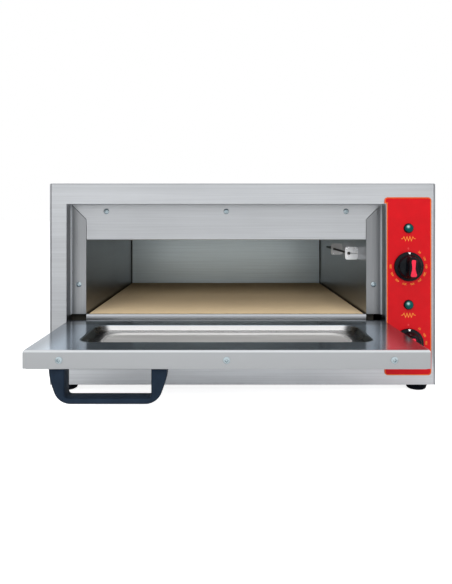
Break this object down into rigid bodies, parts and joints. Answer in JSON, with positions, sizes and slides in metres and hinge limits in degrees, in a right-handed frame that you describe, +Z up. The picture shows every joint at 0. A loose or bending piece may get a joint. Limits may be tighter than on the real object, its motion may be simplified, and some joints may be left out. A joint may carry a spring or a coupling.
{
  "type": "electric pizza oven",
  "caption": "Countertop electric pizza oven with a stone-floored chamber, a drop-down front door with a bow handle, and a control column with thermostat knobs and pilot lamps.",
  "frame": {"origin": "middle of the whole object's footprint, door open, on the plane that the feet stand on", "axes": "+Z up, -Y out of the front, +X to the right as seen from the front"},
  "size_m": [0.5594, 0.64, 0.303],
  "materials": {
    "fascia_steel": "fine horizontal brushing, satin",
    "bright_steel": "bright rolled sheet, near mirror",
    "plated_sheet": "dull hot-dip coated sheet",
    "zinc_screw": "bright zinc plate",
    "fire_stone": "pressed cordierite, matt and slightly grainy",
    "element_steel": "heat-darkened tube",
    "mineral_wool": "felted wool",
    "red_plate": "screen-printed red film on sheet",
    "black_plastic": "moulded phenolic, soft sheen",
    "red_plastic": "moulded, gloss",
    "lens_green": "tinted clear lens",
    "foot_rubber": "matt rubber",
    "hinge_brass": "turned",
    "white_ceramic": "unglazed steatite"
  },
  "bodies": {
    "casing": {"baking_stone": "fire_stone", "base_pan": "fascia_steel", "bottom_element_stands": "plated_sheet", "bottom_heating_element": "element_steel", "bottom_sensor": "element_steel", "bottom_sensor_clips": "bright_steel", "bottom_thermostat": "black_plastic", "cable_gland": "black_plastic", "case_cover": "fascia_steel", "chamber_ceiling": "plated_sheet", "chamber_floor": "plated_sheet", "chamber_left_wall": "plated_sheet", "chamber_rear_wall": "plated_sheet", "chamber_right_wall": "plated_sheet", "chamber_supports": "plated_sheet", "control_plate": "red_plate", "cover_screws": "zinc_screw", "element_bushes": "white_ceramic", "feet": "foot_rubber", "foot_screws": "zinc_screw", "front_panel": "fascia_steel", "hinge_bushes": "hinge_brass", "insulation_bottom": "mineral_wool", "insulation_left": "mineral_wool", "insulation_rear": "mineral_wool", "insulation_right": "mineral_wool", "insulation_top": "mineral_wool", "left_lip": "fascia_steel", "lip_screws": "zinc_screw", "pilot_bezels": "black_plastic", "pilot_lenses": "lens_green", "rear_panel": "fascia_steel", "rear_screws": "zinc_screw", "right_lip": "fascia_steel", "sill_strip": "fascia_steel", "stone_rails": "plated_sheet", "terminal_block": "white_ceramic", "top_element_hangers": "plated_sheet", "top_heating_element": "element_steel", "top_lip": "fascia_steel", "top_sensor": "element_steel", "top_sensor_clips": "bright_steel", "top_thermostat": "black_plastic"},
    "door": {"door_inner_panel": "bright_steel", "door_outer_panel": "fascia_steel", "door_insulation": "mineral_wool", "door_handle": "black_plastic", "handle_screws": "zinc_screw", "door_edge_screws": "zinc_screw", "hinge_pins": "zinc_screw", "hinge_blocks": "zinc_screw"},
    "top_knob": {"top_knob": "black_plastic", "top_knob_insert": "red_plastic", "top_thermostat_shaft": "zinc_screw"},
    "bottom_knob": {"bottom_knob": "black_plastic", "bottom_knob_insert": "red_plastic", "bottom_thermostat_shaft": "zinc_screw"}
  },
  "joints": [
    {"name": "door_hinge", "type": "hinge", "parent": "casing", "child": "door", "pos_m": [-0.0235, -0.13555, 0.088], "axis": [-1, 0, 0], "range_deg": [0, 90]},
    {"name": "top_knob_turn", "type": "hinge", "parent": "casing", "child": "top_knob", "pos_m": [0.2385, -0.14005, 0.1835], "axis": [0, 1, 0], "range_deg": [0, 270]},
    {"name": "bottom_knob_turn", "type": "hinge", "parent": "casing", "child": "bottom_knob", "pos_m": [0.2385, -0.14005, 0.0735], "axis": [0, 1, 0], "range_deg": [0, 270]}
  ]
}
